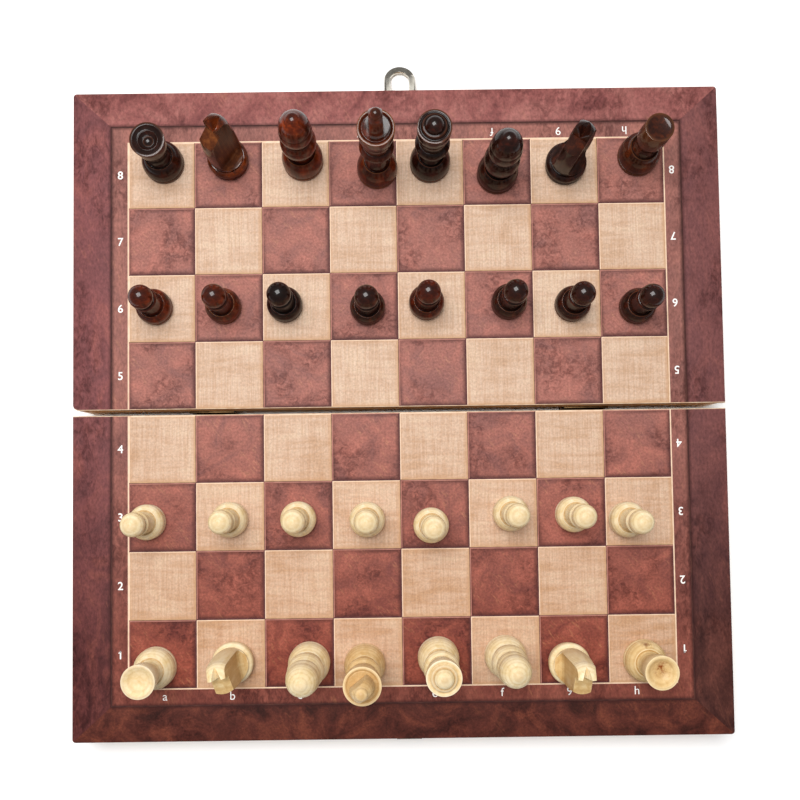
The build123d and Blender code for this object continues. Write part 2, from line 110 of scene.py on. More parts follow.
# Outlines of the turned pieces; three numbers are an arc's end radius, its rise and its bulge
# Foot that all of them share
FOOT_EDGE = 2.0
FOOT_GROOVE_WIDTH = 0.5
FOOT_GROOVE_DEPTH = 0.4
FOOT_BELL_BULGE = 0.9
FOOT_CUT_WIDTH = 0.6
FOOT_CUT_DROP = 0.3
FOOT_CUT_HOLLOW = 0.12
FOOT_STEP = 0.8
PIECE_FOOT_DIAMETER = 17.9

# King and queen
ROYAL_BELL_DIAMETER = 11.6
ROYAL_BELL_HEIGHT = 8.5
ROYAL_WAIST_RADIUS = 5.2
ROYAL_WAIST_HOLLOW = 1.1
ROYAL_COLLAR_RADIUS = 5.9
ROYAL_COLLAR_HEIGHT = 5.6
ROYAL_COLLAR_BULGE = 1.5
ROYAL_NECK_RADIUS = 5.6
ROYAL_NECK_RING_HEIGHT = 0.5
ROYAL_NECK_RING_BULGE = 0.14
CROWN_GROOVE_WIDTH = 0.4
CROWN_GROOVE_DEPTH = 0.18
CROWN_GROOVE_STEP = 0.1
CROWN_RIM_HEIGHT = 1.3
CROWN_RIM_WIDTH = 0.9
KING_WAIST_HEIGHT = 12.5
KING_CROWN = {"low": (6.4, 4.6, 0.25), "flare": (7.6, 7.9, 0.4)}
KING_DISH_DEPTH = 0.8
KING_DISH_WALL = (5.9, -0.7, -0.1)
KING_DISH_RING = (5.5, 0.12, 0.08)
KING_DISH_FLOOR_DROP = 0.22
KING_TURNS = {"black_king": 94.0, "white_king": 38.0}
FINIAL_RADIUS = 4.8
FINIAL_THICKNESS = 5.4
FINIAL_SINK = 0.8
FINIAL_STRAIGHT = 6.0
FINIAL_SHOULDER = (2.6, 7.0, 0.6)
FINIAL_DOME_HEIGHT = 2.6
QUEEN_WAIST_HEIGHT = 8.6
QUEEN_CROWN = {"low": (6.1, 4.2, 0.2), "flare": (7.1, 6.8, 0.35)}
QUEEN_GROOVE = (5.4, 0.0, -0.2)
QUEEN_BUTTON_RADIUS = 4.8
QUEEN_BUTTON_STEP = 0.9
QUEEN_DOME_RADIUS = 4.0
QUEEN_DOME_HEIGHT = 3.3

# Bishop
BISHOP_BELL_DIAMETER = 13.0
BISHOP_BELL_HEIGHT = 8.0
BISHOP_WAIST_RADIUS = 6.0
BISHOP_WAIST_HEIGHT = 2.4
BISHOP_WAIST_HOLLOW = 0.4
BISHOP_COLLAR_HEIGHT = 10.6
BISHOP_COLLAR_BULGE = 1.7
BISHOP_NECK_RADIUS = 5.2
BISHOP_NECK_HEIGHT = 1.2
BISHOP_LIP_RADIUS = 6.3
BISHOP_HEAD_LOW = (6.5, 7.0, 0.6)
BISHOP_HEAD_HIGH = (3.0, 8.0, 1.1)
BISHOP_TIP_HEIGHT = 1.6

# Rook
ROOK_BELL_DIAMETER = 12.0
ROOK_BELL_HEIGHT = 7.0
ROOK_WAIST = (4.5, 5.0, -0.4)
ROOK_NECK = (6.2, 4.0, -0.6)
ROOK_TOWER_HEIGHT = 8.6
ROOK_TOP_RADIUS = 7.0
ROOK_RIM_WIDTH = 1.1
ROOK_DISH_DEPTH = 2.8
RING_DROP = 0.38
RING_HOLLOW = 0.12
RING_WIDTH = 0.35
RING_RISE = 0.06
RING_BULGE = 0.06

# Pawn
PAWN_FOOT_DIAMETER = 15.2
PAWN_BELL_DIAMETER = 11.2
PAWN_BELL_HEIGHT = 5.6
PAWN_NECK_RADIUS = 3.8
PAWN_NECK_HEIGHT = 9.2
PAWN_NECK_HOLLOW = 0.3
PAWN_COLLAR_RADIUS = 4.3
PAWN_COLLAR_HEIGHT = 2.2
PAWN_COLLAR_BULGE = 1.0
PAWN_HEAD_RADIUS = 5.1

# Turned blank that a knight is sawn from
KNIGHT_BODY_RADIUS = 7.4
KNIGHT_BODY_BULGE = 0.7
KNIGHT_POLL_RADIUS = 6.7
KNIGHT_BODY_FROM = 7.2
KNIGHT_BODY_TO = 29.6
KNIGHT_CUT_DEPTH = 0.3

# Rails and metal fittings
RAIL_EDGE_SOFTNESS = 0.35
RAIL_OUTER_ROUND = 1.5
RAIL_HINGE_ROUND = 2.5
METAL_EDGE_SOFTNESS = 0.12

# Faces that meet within these degrees are shaded as one surface
PANEL_SMOOTHING = 30
FITTING_SMOOTHING = 35
PIECE_SMOOTHING = 50
# Edges sharper than these are eased, and faces flatter than the last are merged
SHARP_ANGLE = math.radians(40)
CAD_SHARP_ANGLE = math.radians(28)
FLAT_ANGLE = math.radians(1)

# Round corners, and what counts as touching, upright, upward, level and beside the seam
CORNER_STEPS = 6
TOUCHING = 0.01
UPRIGHT_RISE = 1.0
UPWARD = 0.1
LEVEL = 0.95
SEAM_EDGE = 1.0

# Sizes of the finishes' patterns
BURL_CLOUD = 15.0
BURL_CLUSTER = 19.0
BURL_EYE = 2.6
BURL_HAIR = 0.8
MAPLE_RIPPLE = 2.8
MAPLE_TONE = 24.0
# Maple fibre is about 0.1 mm wide; drawn wider so that it shows
MAPLE_FIBRE = 0.6
# Paper speckle is about 0.2 mm wide; drawn wider so that it shows
PAPER_SPECKLE = 1.0
INK_PATCH = 3.0
WOOD_STREAK = 2.2
WOOD_CLOUD = 9.0
WEAR_PATCH = 1.6
KNOT_FLECK = 2.4
# Tool marks of the lathe are about 0.2 mm apart; drawn further apart so that they show
LATHE_MARK = 1.6
RAIL_GRAIN = 1.8
BOARD_FIBRE = 1.2
METAL_HAZE = 2.5
# Length of one band of the wave texture at a scale of 1
WAVE_PERIOD = math.tau / 20

# Satin lacquer over the print, and the pieces' lacquers with the stain that their end grain takes
PRINT_LACQUER = {"Roughness": 0.6, "IOR": 1.5, "Specular_IOR_Level": 0.15}
DARK_LACQUER = {"haze": 0.09, "lacquer": 0.55, "end_stain": 0.85}
PALE_LACQUER = {"haze": 0.25, "lacquer": 0.2, "end_stain": 0.4}
SAWN_LACQUER = {"haze": 0.25, "lacquer": 0.3, "end_stain": 0.0}

# Places of a knight's other finishes
SAWN, WORN_EDGE = 1, 2

# Floor and light, in metres
FLOOR_HALF_WIDTH = 3.0
WORLD_STRENGTH = 0.25

# Sockets of a colour Mix node
FACTOR, FIRST, SECOND, MIXED = 0, 6, 7, 2

hinge_y = (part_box("near_panel")[1].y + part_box("far_panel")[0].y) / 2 / MM
panel_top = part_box("near_panel")[1].z / MM
half_gap = (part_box("far_panel")[0].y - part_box("near_panel")[1].y) / MM


def linear(hex_colour):
    """The linear colour of an sRGB hex value."""
    parts = [int(hex_colour[k:k + 2], 16) / 255 for k in (1, 3, 5)]
    return (*[c / 12.92 if c <= 0.04045 else ((c + 0.055) / 1.055) ** 2.4 for c in parts], 1.0)


def add(tree, kind, inputs=None, stops=None, **settings):
    """Adds a node with its settings; an input is a value, a hex colour, or the output of another node."""
    made = tree.nodes.new("ShaderNode" + kind)
    for name, value in settings.items():
        setattr(made, name, value)
    for key, value in (inputs or {}).items():
        if isinstance(value, bpy.types.NodeSocket):
            tree.links.new(value, made.inputs[key])
        else:
            made.inputs[key].default_value = linear(value) if isinstance(value, str) else value
    if stops:
        ramp = made.color_ramp
        while len(ramp.elements) < len(stops):
            ramp.elements.new(0.5)
        for element, (position, colour) in zip(ramp.elements, stops):
            element.position = position
            element.color = linear(colour)
    return made


def start_finish(name, **sockets):
    """A new material, its node tree and its shader, with the shader's plain sockets set."""
    material = bpy.data.materials.new(name)
    material.use_nodes = True
    shader = material.node_tree.nodes["Principled BSDF"]
    for socket, value in sockets.items():
        shader.inputs[socket.replace("_", " ")].default_value = value
    return material, material.node_tree, shader


def millimetres(tree, centre=(0, 0, 0), stretch=(1, 1, 1)):
    """Object coordinates in millimetres from a centre, drawn out along an axis where stretch is below 1."""
    place = add(tree, "TexCoord").outputs["Object"]
    moved = add(tree, "Mapping", {"Vector": place, "Location": [-c for c in centre], "Scale": (1 / MM,) * 3})
    return add(tree, "Mapping", {"Vector": moved.outputs[0], "Scale": stretch}).outputs[0]


def put(mesh, name, body, finishes, replaced=(), smooth_angle=None):
    """Turns a bmesh drawn in millimetres into a piece that rides on a body."""
    bmesh.ops.scale(mesh, vec=(MM,) * 3, verts=mesh.verts)
    data = bpy.data.meshes.new(name)
    mesh.to_mesh(data)
    mesh.free()
    piece = bpy.data.objects.new(name, data)
    bpy.context.scene.collection.objects.link(piece)
    for finish in finishes:
        data.materials.append(finish)
    if smooth_angle is not None:
        data.shade_smooth()
        data.set_sharp_from_angle(angle=math.radians(smooth_angle))
    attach(piece, body)
    if replaced:
        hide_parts(*replaced)
    return piece


def bevel(mesh, edges, width, segments=2):
    """Rounds edges to a width."""
    return bmesh.ops.bevel(mesh, geom=edges, offset=width, offset_type="OFFSET", affect="EDGES",
                           segments=segments, profile=0.5, material=-1, clamp_overlap=True)


def block(low, high):
    """A plain block between two corners, in millimetres."""
    mesh = bmesh.new()
    bmesh.ops.create_cube(mesh, size=1)
    bmesh.ops.scale(mesh, vec=high - low, verts=mesh.verts)
    bmesh.ops.translate(mesh, vec=(low + high) / 2, verts=mesh.verts)
    return mesh


def joined(mesh, other):
    """Adds another bmesh to a bmesh, and frees it."""
    data = bpy.data.meshes.new("joined")
    other.to_mesh(data)
    other.free()
    mesh.from_mesh(data)
    bpy.data.meshes.remove(data)
    return mesh


def node_box(node):
    """Both corners of a CAD node's box, in millimetres."""
    return [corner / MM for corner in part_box(node)]


def upright_edges(mesh, y):
    """The upright edges of a block at one of its ends along Y."""
    return [e for e in mesh.edges
            if abs(e.verts[0].co.z - e.verts[1].co.z) > UPRIGHT_RISE
            and abs(e.verts[0].co.y - y) < TOUCHING]


# Finishes


def printed_burl(name, deep, middle, light, streak, stretch=(1, 1, 1), sheen_share=0.0, sheen_tone="#FFD0C6"):
    """Burl printed on paper under satin lacquer: clouds, clusters of dark eyes and short golden streaks."""
    material, tree, shader = start_finish(name, **PRINT_LACQUER)
    place = millimetres(tree, stretch=stretch)
    cloud = add(tree, "TexNoise", {"Vector": place, "Scale": 1 / BURL_CLOUD, "Detail": 7, "Roughness": 0.62,
                                   "Distortion": 1.4})
    cloudy = add(tree, "ValToRGB", {"Fac": cloud.outputs[0]},
                 stops=[(0.34, deep), (0.5, middle), (0.68, light)])
    where = add(tree, "TexNoise", {"Vector": place, "Scale": 1 / BURL_CLUSTER, "Detail": 2})
    eyes = add(tree, "TexNoise", {"Vector": place, "Scale": 1 / BURL_EYE, "Detail": 4, "Roughness": 0.7,
                                  "Distortion": 0.8})
    cluster = add(tree, "MapRange", {"Value": where.outputs[0], "From Min": 0.47, "From Max": 0.6})
    spots = add(tree, "MapRange", {"Value": eyes.outputs[0], "From Min": 0.41, "From Max": 0.62,
                                   "To Max": 0.85})
    mask = add(tree, "Math", {0: cluster.outputs[0], 1: spots.outputs[0]}, operation="MULTIPLY")
    slanted = add(tree, "Mapping", {"Vector": place, "Rotation": (0, 0, math.radians(-40))})
    drawn_out = add(tree, "Mapping", {"Vector": slanted.outputs[0], "Scale": (1, 0.2, 1)})
    hairs = add(tree, "TexNoise", {"Vector": drawn_out.outputs[0], "Scale": 1 / BURL_HAIR, "Detail": 3})
    thin = add(tree, "MapRange", {"Value": hairs.outputs[0], "From Min": 0.56, "From Max": 0.72,
                                  "To Max": 0.4})
    patch = add(tree, "MapRange", {"Value": where.outputs[0], "From Min": 0.52, "From Max": 0.4})
    gold = add(tree, "Math", {0: thin.outputs[0], 1: patch.outputs[0]}, operation="MULTIPLY")
    streaked = add(tree, "Mix", {FACTOR: gold.outputs[0], FIRST: cloudy.outputs[0], SECOND: streak},
                   data_type="RGBA")
    ink = ink_with_painted_sheen(tree, streaked.outputs[MIXED], sheen_share, sheen_tone)
    knotted = add(tree, "Mix", {FACTOR: mask.outputs[0], FIRST: ink, SECOND: "#B0A0A0"},
                  data_type="RGBA", blend_type="MULTIPLY")
    return finish_print(material, tree, shader, place, knotted.outputs[MIXED], shade="#341514", strength=0.7)


def printed_maple(name, pale, middle, warm, sheen_share=0.0):
    """Curly maple printed on paper under satin lacquer: pale, with soft cross ripples and thin fibres."""
    material, tree, shader = start_finish(name, **PRINT_LACQUER)
    place = millimetres(tree)
    ripple = add(tree, "TexNoise", {"Vector": millimetres(tree, stretch=(0.16, 1, 1)),
                                    "Scale": 1 / MAPLE_RIPPLE, "Detail": 2, "Distortion": 0.7})
    tone = add(tree, "TexNoise", {"Vector": place, "Scale": 1 / MAPLE_TONE, "Detail": 3, "Distortion": 0.6})
    both = add(tree, "Math", {0: ripple.outputs[0], 1: tone.outputs[0]}, operation="ADD")
    mean = add(tree, "Math", {0: both.outputs[0], 1: 0.5}, operation="MULTIPLY")
    curl = add(tree, "ValToRGB", {"Fac": mean.outputs[0]},
               stops=[(0.38, pale), (0.5, middle), (0.64, warm)])
    fibre = add(tree, "TexNoise", {"Vector": millimetres(tree, stretch=(1, 0.04, 1)),
                                   "Scale": 1 / MAPLE_FIBRE, "Detail": 1})
    thin = add(tree, "ValToRGB", {"Fac": fibre.outputs[0]}, stops=[(0.32, "#D8BFA4"), (0.62, "#FFFFFF")])
    ink = ink_with_painted_sheen(tree, curl.outputs[0], sheen_share, "#FFFAF0")
    fibred = add(tree, "Mix", {FACTOR: 0.35, FIRST: ink, SECOND: thin.outputs[0]},
                 data_type="RGBA", blend_type="MULTIPLY")
    return finish_print(material, tree, shader, place, fibred.outputs[MIXED], shade="#B98A62", strength=0.5,
                        dryness=0.55)


def ink_with_painted_sheen(tree, colour, sheen_share, sheen_tone):
    """Printed ink paled towards the far end: a painted sheen that stands for the lacquer's gloss under light
    from the far side.
    """
    if not sheen_share:
        return colour
    length = add(tree, "SeparateXYZ", {0: millimetres(tree)}).outputs["Y"]
    far = add(tree, "MapRange", {"Value": length, "From Min": -FIELD_LENGTH, "From Max": 0.0,
                                 "To Max": sheen_share})
    sheened = add(tree, "Mix", {FACTOR: far.outputs[0], FIRST: colour, SECOND: sheen_tone}, data_type="RGBA")
    return sheened.outputs[MIXED]


def finish_print(material, tree, shader, place, colour, shade, strength, dryness=0.8):
    """Printed paper: dry speckle, and soft shade along the drawn lines."""
    speckle = add(tree, "TexNoise", {"Vector": place, "Scale": 1 / PAPER_SPECKLE, "Detail": 3,
                                     "Roughness": 0.7})
    dry = add(tree, "ValToRGB", {"Fac": speckle.outputs[0]}, stops=[(0.3, "#B0B0B0"), (0.7, "#FFFFFF")])
    printed = add(tree, "Mix", {FACTOR: dryness, FIRST: colour, SECOND: dry.outputs[0]},
                  data_type="RGBA", blend_type="MULTIPLY")
    drawn = add(tree, "Attribute", attribute_name="shade").outputs["Fac"]
    share = add(tree, "Math", {0: drawn, 1: strength}, operation="MULTIPLY")
    shaded = add(tree, "Mix", {FACTOR: share.outputs[0], FIRST: printed.outputs[MIXED], SECOND: shade},
                 data_type="RGBA")
    tree.links.new(shaded.outputs[MIXED], shader.inputs["Base Color"])
    bump = add(tree, "Bump", {"Height": speckle.outputs[0], "Strength": 0.1, "Distance": 0.05 * MM})
    tree.links.new(bump.outputs[0], shader.inputs["Normal"])
    return material


def printed_line(name, dark, light):
    """A drawn line of the print: one ink, a little uneven along its length."""
    material, tree, shader = start_finish(name, **PRINT_LACQUER)
    uneven = add(tree, "TexNoise", {"Vector": millimetres(tree), "Scale": 1 / INK_PATCH, "Detail": 4})
    ink = add(tree, "ValToRGB", {"Fac": uneven.outputs[0]}, stops=[(0.35, dark), (0.65, light)])
    tree.links.new(ink.outputs[0], shader.inputs["Base Color"])
    return material


def turned_wood(name, centre, tones, haze, lacquer, end_stain, knots=()):
    """Turned wood under lacquer: streaks up the stem, lathe rings, end grain darkened by stain, cuts darkened
    by stain and painted shade, worn edges.
    """
    deep, middle, light, worn, groove = tones
    material, tree, shader = start_finish(name, IOR=1.5, Specular_IOR_Level=0.08, Coat_Roughness=haze)
    in_cut = add(tree, "Attribute", attribute_name="hollow").outputs["Fac"]
    dull = add(tree, "MapRange", {"Value": in_cut, "To Min": 0.5, "To Max": 0.8})
    tree.links.new(dull.outputs[0], shader.inputs["Roughness"])
    bare = add(tree, "MapRange", {"Value": in_cut, "To Min": lacquer, "To Max": 0.0})
    tree.links.new(bare.outputs[0], shader.inputs["Coat Weight"])
    place = millimetres(tree, centre)
    streak = add(tree, "TexNoise", {"Vector": millimetres(tree, centre, (1, 1, 0.12)),
                                    "Scale": 1 / WOOD_STREAK, "Detail": 6, "Roughness": 0.6,
                                    "Distortion": 0.7})
    cloud = add(tree, "TexNoise", {"Vector": place, "Scale": 1 / WOOD_CLOUD, "Detail": 3})
    both = add(tree, "Math", {0: streak.outputs[0], 1: cloud.outputs[0]}, operation="ADD")
    mean = add(tree, "Math", {0: both.outputs[0], 1: 0.5}, operation="MULTIPLY")
    wood = add(tree, "ValToRGB", {"Fac": mean.outputs[0]},
               stops=[(0.38, deep), (0.52, middle), (0.64, light)])
    colour = wood.outputs[0]
    patchy = add(tree, "TexNoise", {"Vector": place, "Scale": 1 / WEAR_PATCH, "Detail": 3})
    uneven = add(tree, "MapRange", {"Value": patchy.outputs[0], "From Min": 0.3, "From Max": 0.7,
                                    "To Min": 0.5}).outputs[0]
    # End grain takes stain, cuts take stain and painted shade in the groove tone, rubbed edges show wear
    stain_wear_and_cut_shade = (("end_grain", groove, end_stain), ("hollow", groove, 0.8), ("rubbed", worn, 0.75))
    for attribute, tone, share in stain_wear_and_cut_shade:
        marked = add(tree, "Attribute", attribute_name=attribute).outputs["Fac"]
        mask = add(tree, "Math", {0: marked, 1: uneven}, operation="MULTIPLY")
        strength = add(tree, "Math", {0: mask.outputs[0], 1: share}, operation="MULTIPLY")
        colour = add(tree, "Mix", {FACTOR: strength.outputs[0], FIRST: colour, SECOND: tone},
                     data_type="RGBA").outputs[MIXED]
    for spot, size, stain in knots:
        apart = add(tree, "VectorMath", {0: place, 1: spot}, operation="DISTANCE")
        near = add(tree, "MapRange", {"Value": apart.outputs["Value"], "From Min": size,
                                      "From Max": size * 0.3})
        flecks = add(tree, "TexNoise", {"Vector": place, "Scale": 1 / KNOT_FLECK, "Detail": 6,
                                        "Roughness": 0.75})
        torn = add(tree, "MapRange", {"Value": flecks.outputs[0], "From Min": 0.44, "From Max": 0.6})
        mask = add(tree, "Math", {0: near.outputs[0], 1: torn.outputs[0]}, operation="MULTIPLY")
        colour = add(tree, "Mix", {FACTOR: mask.outputs[0], FIRST: colour, SECOND: stain},
                     data_type="RGBA").outputs[MIXED]
    rings = add(tree, "TexWave", {"Vector": place, "Scale": WAVE_PERIOD / LATHE_MARK, "Distortion": 0.6},
                wave_type="BANDS", bands_direction="Z")
    ridged = add(tree, "ValToRGB", {"Fac": rings.outputs["Fac"]},
                 stops=[(0.1, "#D6C4AA"), (0.6, "#FFFFFF")])
    turned = add(tree, "Mix", {FACTOR: 0.3, FIRST: colour, SECOND: ridged.outputs[0]},
                 data_type="RGBA", blend_type="MULTIPLY")
    tree.links.new(turned.outputs[MIXED], shader.inputs["Base Color"])
    marks = add(tree, "Math", {0: rings.outputs["Fac"], 1: streak.outputs[0]}, operation="ADD")
    bump = add(tree, "Bump", {"Height": marks.outputs[0], "Strength": 0.2, "Distance": 0.06 * MM})
    tree.links.new(bump.outputs[0], shader.inputs["Normal"])
    return material


def rail_wood(name, stretch):
    """Basswood under a thin varnish: even, pale tan, with faint long grain."""
    material, tree, shader = start_finish(name, Roughness=0.5, IOR=1.5)
    grain = add(tree, "TexNoise", {"Vector": millimetres(tree, stretch=stretch), "Scale": 1 / RAIL_GRAIN,
                                   "Detail": 6, "Roughness": 0.6, "Distortion": 0.5})
    wood = add(tree, "ValToRGB", {"Fac": grain.outputs[0]},
               stops=[(0.3, "#C09468"), (0.5, "#D6B084"), (0.72, "#E6C69C")])
    tree.links.new(wood.outputs[0], shader.inputs["Base Color"])
    bump = add(tree, "Bump", {"Height": grain.outputs[0], "Strength": 0.2, "Distance": 0.08 * MM})
    tree.links.new(bump.outputs[0], shader.inputs["Normal"])
    return material


def hardboard():
    """Bare hardboard on the panel's edges and underside: dull brown with pressed fibres."""
    material, tree, shader = start_finish("hardboard", Roughness=0.75, IOR=1.5)
    fibres = add(tree, "TexNoise", {"Vector": millimetres(tree), "Scale": 1 / BOARD_FIBRE, "Detail": 6,
                                    "Roughness": 0.7})
    brown = add(tree, "ValToRGB", {"Fac": fibres.outputs[0]},
                stops=[(0.3, "#6E4A34"), (0.7, "#9A6E4C")])
    tree.links.new(brown.outputs[0], shader.inputs["Base Color"])
    return material


def plated_metal(name, bright, dull, roughness):
    """Pressed and plated metal: mirror-like, with a faint haze and rubbed patches."""
    material, tree, shader = start_finish(name, Metallic=1.0)
    haze = add(tree, "TexNoise", {"Vector": millimetres(tree), "Scale": 1 / METAL_HAZE, "Detail": 5,
                                  "Roughness": 0.65})
    tone = add(tree, "ValToRGB", {"Fac": haze.outputs[0]}, stops=[(0.3, dull), (0.7, bright)])
    rough = add(tree, "MapRange", {"Value": haze.outputs[0], "To Min": roughness * 0.7,
                                   "To Max": roughness * 1.4})
    tree.links.new(tone.outputs[0], shader.inputs["Base Color"])
    tree.links.new(rough.outputs[0], shader.inputs["Roughness"])
    return material


# The last number of a print, where given, is its share of painted sheen towards the far end
print_maple = printed_maple("maple_print", "#DAB798", "#D2AB8D", "#C59974", 0.145)
print_burl = printed_burl("burl_print", "#76332A", "#8F4636", "#A95846", "#C4825A", sheen_share=0.165)
print_strip = printed_burl("strip_print", "#733930", "#87483C", "#9D594A", "#BE7C58",
                           (1, 0.5, 1), 0.125)
print_border = {
    "far": printed_burl("far_border_print", "#7B4442", "#9A5C57", "#B0726A", "#C4866E", (0.7, 0.5, 1)),
    "near": printed_burl("near_border_print", "#411F19", "#5E2E25", "#7B4030", "#844A34"),
    "left": printed_burl("left_border_print", "#4A2323", "#663432", "#80453B", "#925644",
                         (1, 0.5, 1), 0.135, "#FFA6A8"),
    "right": printed_burl("right_border_print", "#3A1C1A", "#522D27", "#6C3D34", "#804C3C",
                          (1, 0.5, 1), 0.135, "#FFA6A8"),
}
print_shade = printed_line("shade_line_print", "#4E2A2A", "#643A38")
print_cream = printed_line("cream_line_print", "#DDBB9E", "#E9CBB0")
print_tan = printed_line("tan_line_print", "#B08A68", "#C09A76")
print_rose = printed_line("rose_line_print", "#A06A5E", "#B07A6C")
print_groove = printed_line("groove_print", "#3E2220", "#523029")
# Pale paper on the panels' rounded seam edges; on the near panel it also paints the edge's highlight
paper_edge_and_highlight = printed_line("paper_edge_and_highlight", "#CDA98A", "#E2C8AC")
white_ink = printed_line("white_ink", "#EDE9E4", "#F8F6F2")
board_back = hardboard()
grain_across = rail_wood("basswood_across", (0.05, 1, 1))
grain_along = rail_wood("basswood_along", (1, 0.05, 1))
nickel = plated_metal("nickel_plate", "#D8D3C8", "#B9B2A4", 0.16)
brass = plated_metal("antique_brass_plate", "#7A6040", "#4E3C28", 0.38)
zinc = plated_metal("zinc_screw_steel", "#B9B6AE", "#8F8C86", 0.34)

# Board


def cut(mesh, faces, point, normal):
    """Cuts faces along a plane and keeps both sides."""
    edges = {edge for face in faces for edge in face.edges}
    corners = {corner for face in faces for corner in face.verts}
    bmesh.ops.bisect_plane(mesh, geom=[*faces, *edges, *corners], plane_co=point, plane_no=normal, dist=1e-5)


def printed_panel(half):
    """Printed panel of one half: squares, stringing, coordinate strip and border, with pressed lines."""
    away = 1 if half == "far" else -1
    low, high = node_box(half + "_panel")
    seam = low.y if away > 0 else high.y
    end = high.y if away > 0 else low.y
    mesh = block(low, high)
    worn = [e for e in upright_edges(mesh, seam) if away > 0 and e.verts[0].co.x < 0]
    bevel(mesh, upright_edges(mesh, end), PANEL_CORNER_ROUND, CORNER_STEPS)
    if worn:
        bevel(mesh, worn, WORN_CORNER_ROUND, CORNER_STEPS)
    top = [e for e in mesh.edges if min(v.co.z for v in e.verts) > high.z - TOUCHING]
    bevel(mesh, top, PANEL_EDGE_SOFTNESS)
    strip_x = FIELD_HALF_WIDTH + SIDE_STRIP
    strip_y = FIELD_LENGTH + END_STRIP
    line = GRID_LINE_WIDTH / 2
    wide = BORDER_LINE_WIDTH / 2
    inside_x = FIELD_HALF_WIDTH - STRINGING_WIDTH
    inside_y = FIELD_LENGTH - STRINGING_WIDTH
    across = [file * SQUARE - FIELD_HALF_WIDTH + side * line for file in range(1, FILES) for side in (-1, 1)]
    along = [rank * SQUARE + side * line for rank in range(1, RANKS_PER_HALF) for side in (-1, 1)]
    edges = (-wide - BORDER_LINE_SHADE, -wide, wide, wide + BORDER_LINE_SHADE)
    outwards = (inside_x, FIELD_HALF_WIDTH, *[strip_x + e for e in edges])
    across += [side * x for side in (-1, 1) for x in outwards]
    along += [inside_y, FIELD_LENGTH, *[strip_y + e for e in edges]]
    for x in across:
        cut(mesh, mesh.faces[:], (x, 0, 0), (1, 0, 0))
    for y in along:
        cut(mesh, mesh.faces[:], (0, seam + away * y, 0), (0, 1, 0))
    for side in (-1, 1):
        inner = Vector((side * (strip_x + wide), seam + away * (strip_y + wide), 0))
        mitre = Vector((side * high.x, end, 0)) - inner
        faces = [f for f in mesh.faces
                 if f.normal.z > UPWARD and side * f.calc_center_median().x > strip_x + wide
                 and away * (f.calc_center_median().y - inner.y) > 0]
        cut(mesh, faces, inner, (mitre.y, -mitre.x, 0))
    slope = (high.x - strip_x) / (abs(end - seam) - strip_y)
    shade = mesh.verts.layers.float.new("shade")
    for v in mesh.verts:
        if abs(max(abs(v.co.x) - strip_x, away * (v.co.y - seam) - strip_y)) < wide + TOUCHING:
            v[shade] = 1.0
    finishes = [board_back, print_maple, print_burl, print_cream, print_strip, print_groove, print_shade,
                print_tan, print_rose, paper_edge_and_highlight, *print_border.values()]
    borders = {side: finishes.index(finish) for side, finish in print_border.items()}
    squares, grid_lines, border_lines = [], [], []
    for face in mesh.faces:
        if face.normal.z < UPWARD:
            continue
        middle = face.calc_center_median()
        x, y = abs(middle.x), away * (middle.y - seam)
        from_line_x = abs((middle.x + FIELD_HALF_WIDTH + SQUARE / 2) % SQUARE - SQUARE / 2)
        from_line_y = abs((y + SQUARE / 2) % SQUARE - SQUARE / 2)
        # Rounded edges along the seam take the pale paper tone, which also paints their highlight
        if face.normal.z < LEVEL and y < SEAM_EDGE:
            face.material_index = finishes.index(paper_edge_and_highlight)
        elif x < inside_x and y < inside_y:
            if from_line_x < line or (from_line_y < line and y > SQUARE / 2):
                face.material_index = finishes.index(print_shade)
                grid_lines.append(face)
            else:
                file = int((middle.x + FIELD_HALF_WIDTH) // SQUARE)
                rank = RANKS_PER_HALF + away * int(y // SQUARE) + (0 if away > 0 else -1)
                face.material_index = finishes.index(print_burl if (file + rank) % 2 == 0 else print_maple)
                squares.append(face)
        elif x < FIELD_HALF_WIDTH and y < FIELD_LENGTH:
            face.material_index = finishes.index(print_cream)
        elif x < strip_x - wide and y < strip_y - wide:
            face.material_index = finishes.index(print_strip)
        elif x < strip_x + wide and y < strip_y + wide:
            face.material_index = finishes.index(print_groove)
            border_lines.append(face)
        elif x - strip_x > slope * (y - strip_y):
            face.material_index = borders["left" if middle.x < 0 else "right"]
        else:
            face.material_index = borders[half]
    for faces, depth in ((grid_lines, GRID_LINE_DEPTH), (border_lines, BORDER_LINE_DEPTH)):
        bmesh.ops.inset_region(mesh, faces=faces, thickness=PRESSED_LINE_SLOPE, depth=-depth,
                               use_even_offset=True, use_boundary=True)
    # The print draws each square as if it stood up and were lit from the top left
    for square in squares:
        centre = square.calc_center_median()
        dark = square.material_index == finishes.index(print_burl)
        ring = bmesh.ops.inset_individual(mesh, faces=[square], thickness=SQUARE_EDGE_WIDTH,
                                          use_even_offset=True)
        for face in ring["faces"]:
            offset = face.calc_center_median() - centre
            lit = offset.y - offset.x > 0
            drawn = (print_rose if lit else print_shade) if dark else (print_cream if lit else print_tan)
            face.material_index = finishes.index(drawn)
        for v in square.verts:
            offset = v.co - centre
            v[shade] = LIT_CORNER_SHADE if offset.y > 0 and offset.x < 0 else 1.0
        bmesh.ops.inset_individual(mesh, faces=[square], thickness=SQUARE_SHADE_WIDTH, use_even_offset=True)
        for v in square.verts:
            v[shade] = 0.0
    return put(mesh, half + "_printed_panel", half + "_half", finishes,
               [half + "_panel"], PANEL_SMOOTHING)


def add_flag(glyph):
    """Gives the plain stroke of a one its slanted flag."""
    top = max(v.co.y for v in glyph.verts)
    left = min(v.co.x for v in glyph.verts)
    flag = block(Vector((-FLAG_LENGTH, -FLAG_WIDTH, -INK_THICKNESS)), Vector((0, 0, INK_THICKNESS)))
    place = Matrix.Translation((left + FLAG_WIDTH, top, 0)) @ Matrix.Rotation(FLAG_SLANT, 4, "Z")
    bmesh.ops.transform(flag, matrix=place, verts=flag.verts)
    joined(glyph, flag)


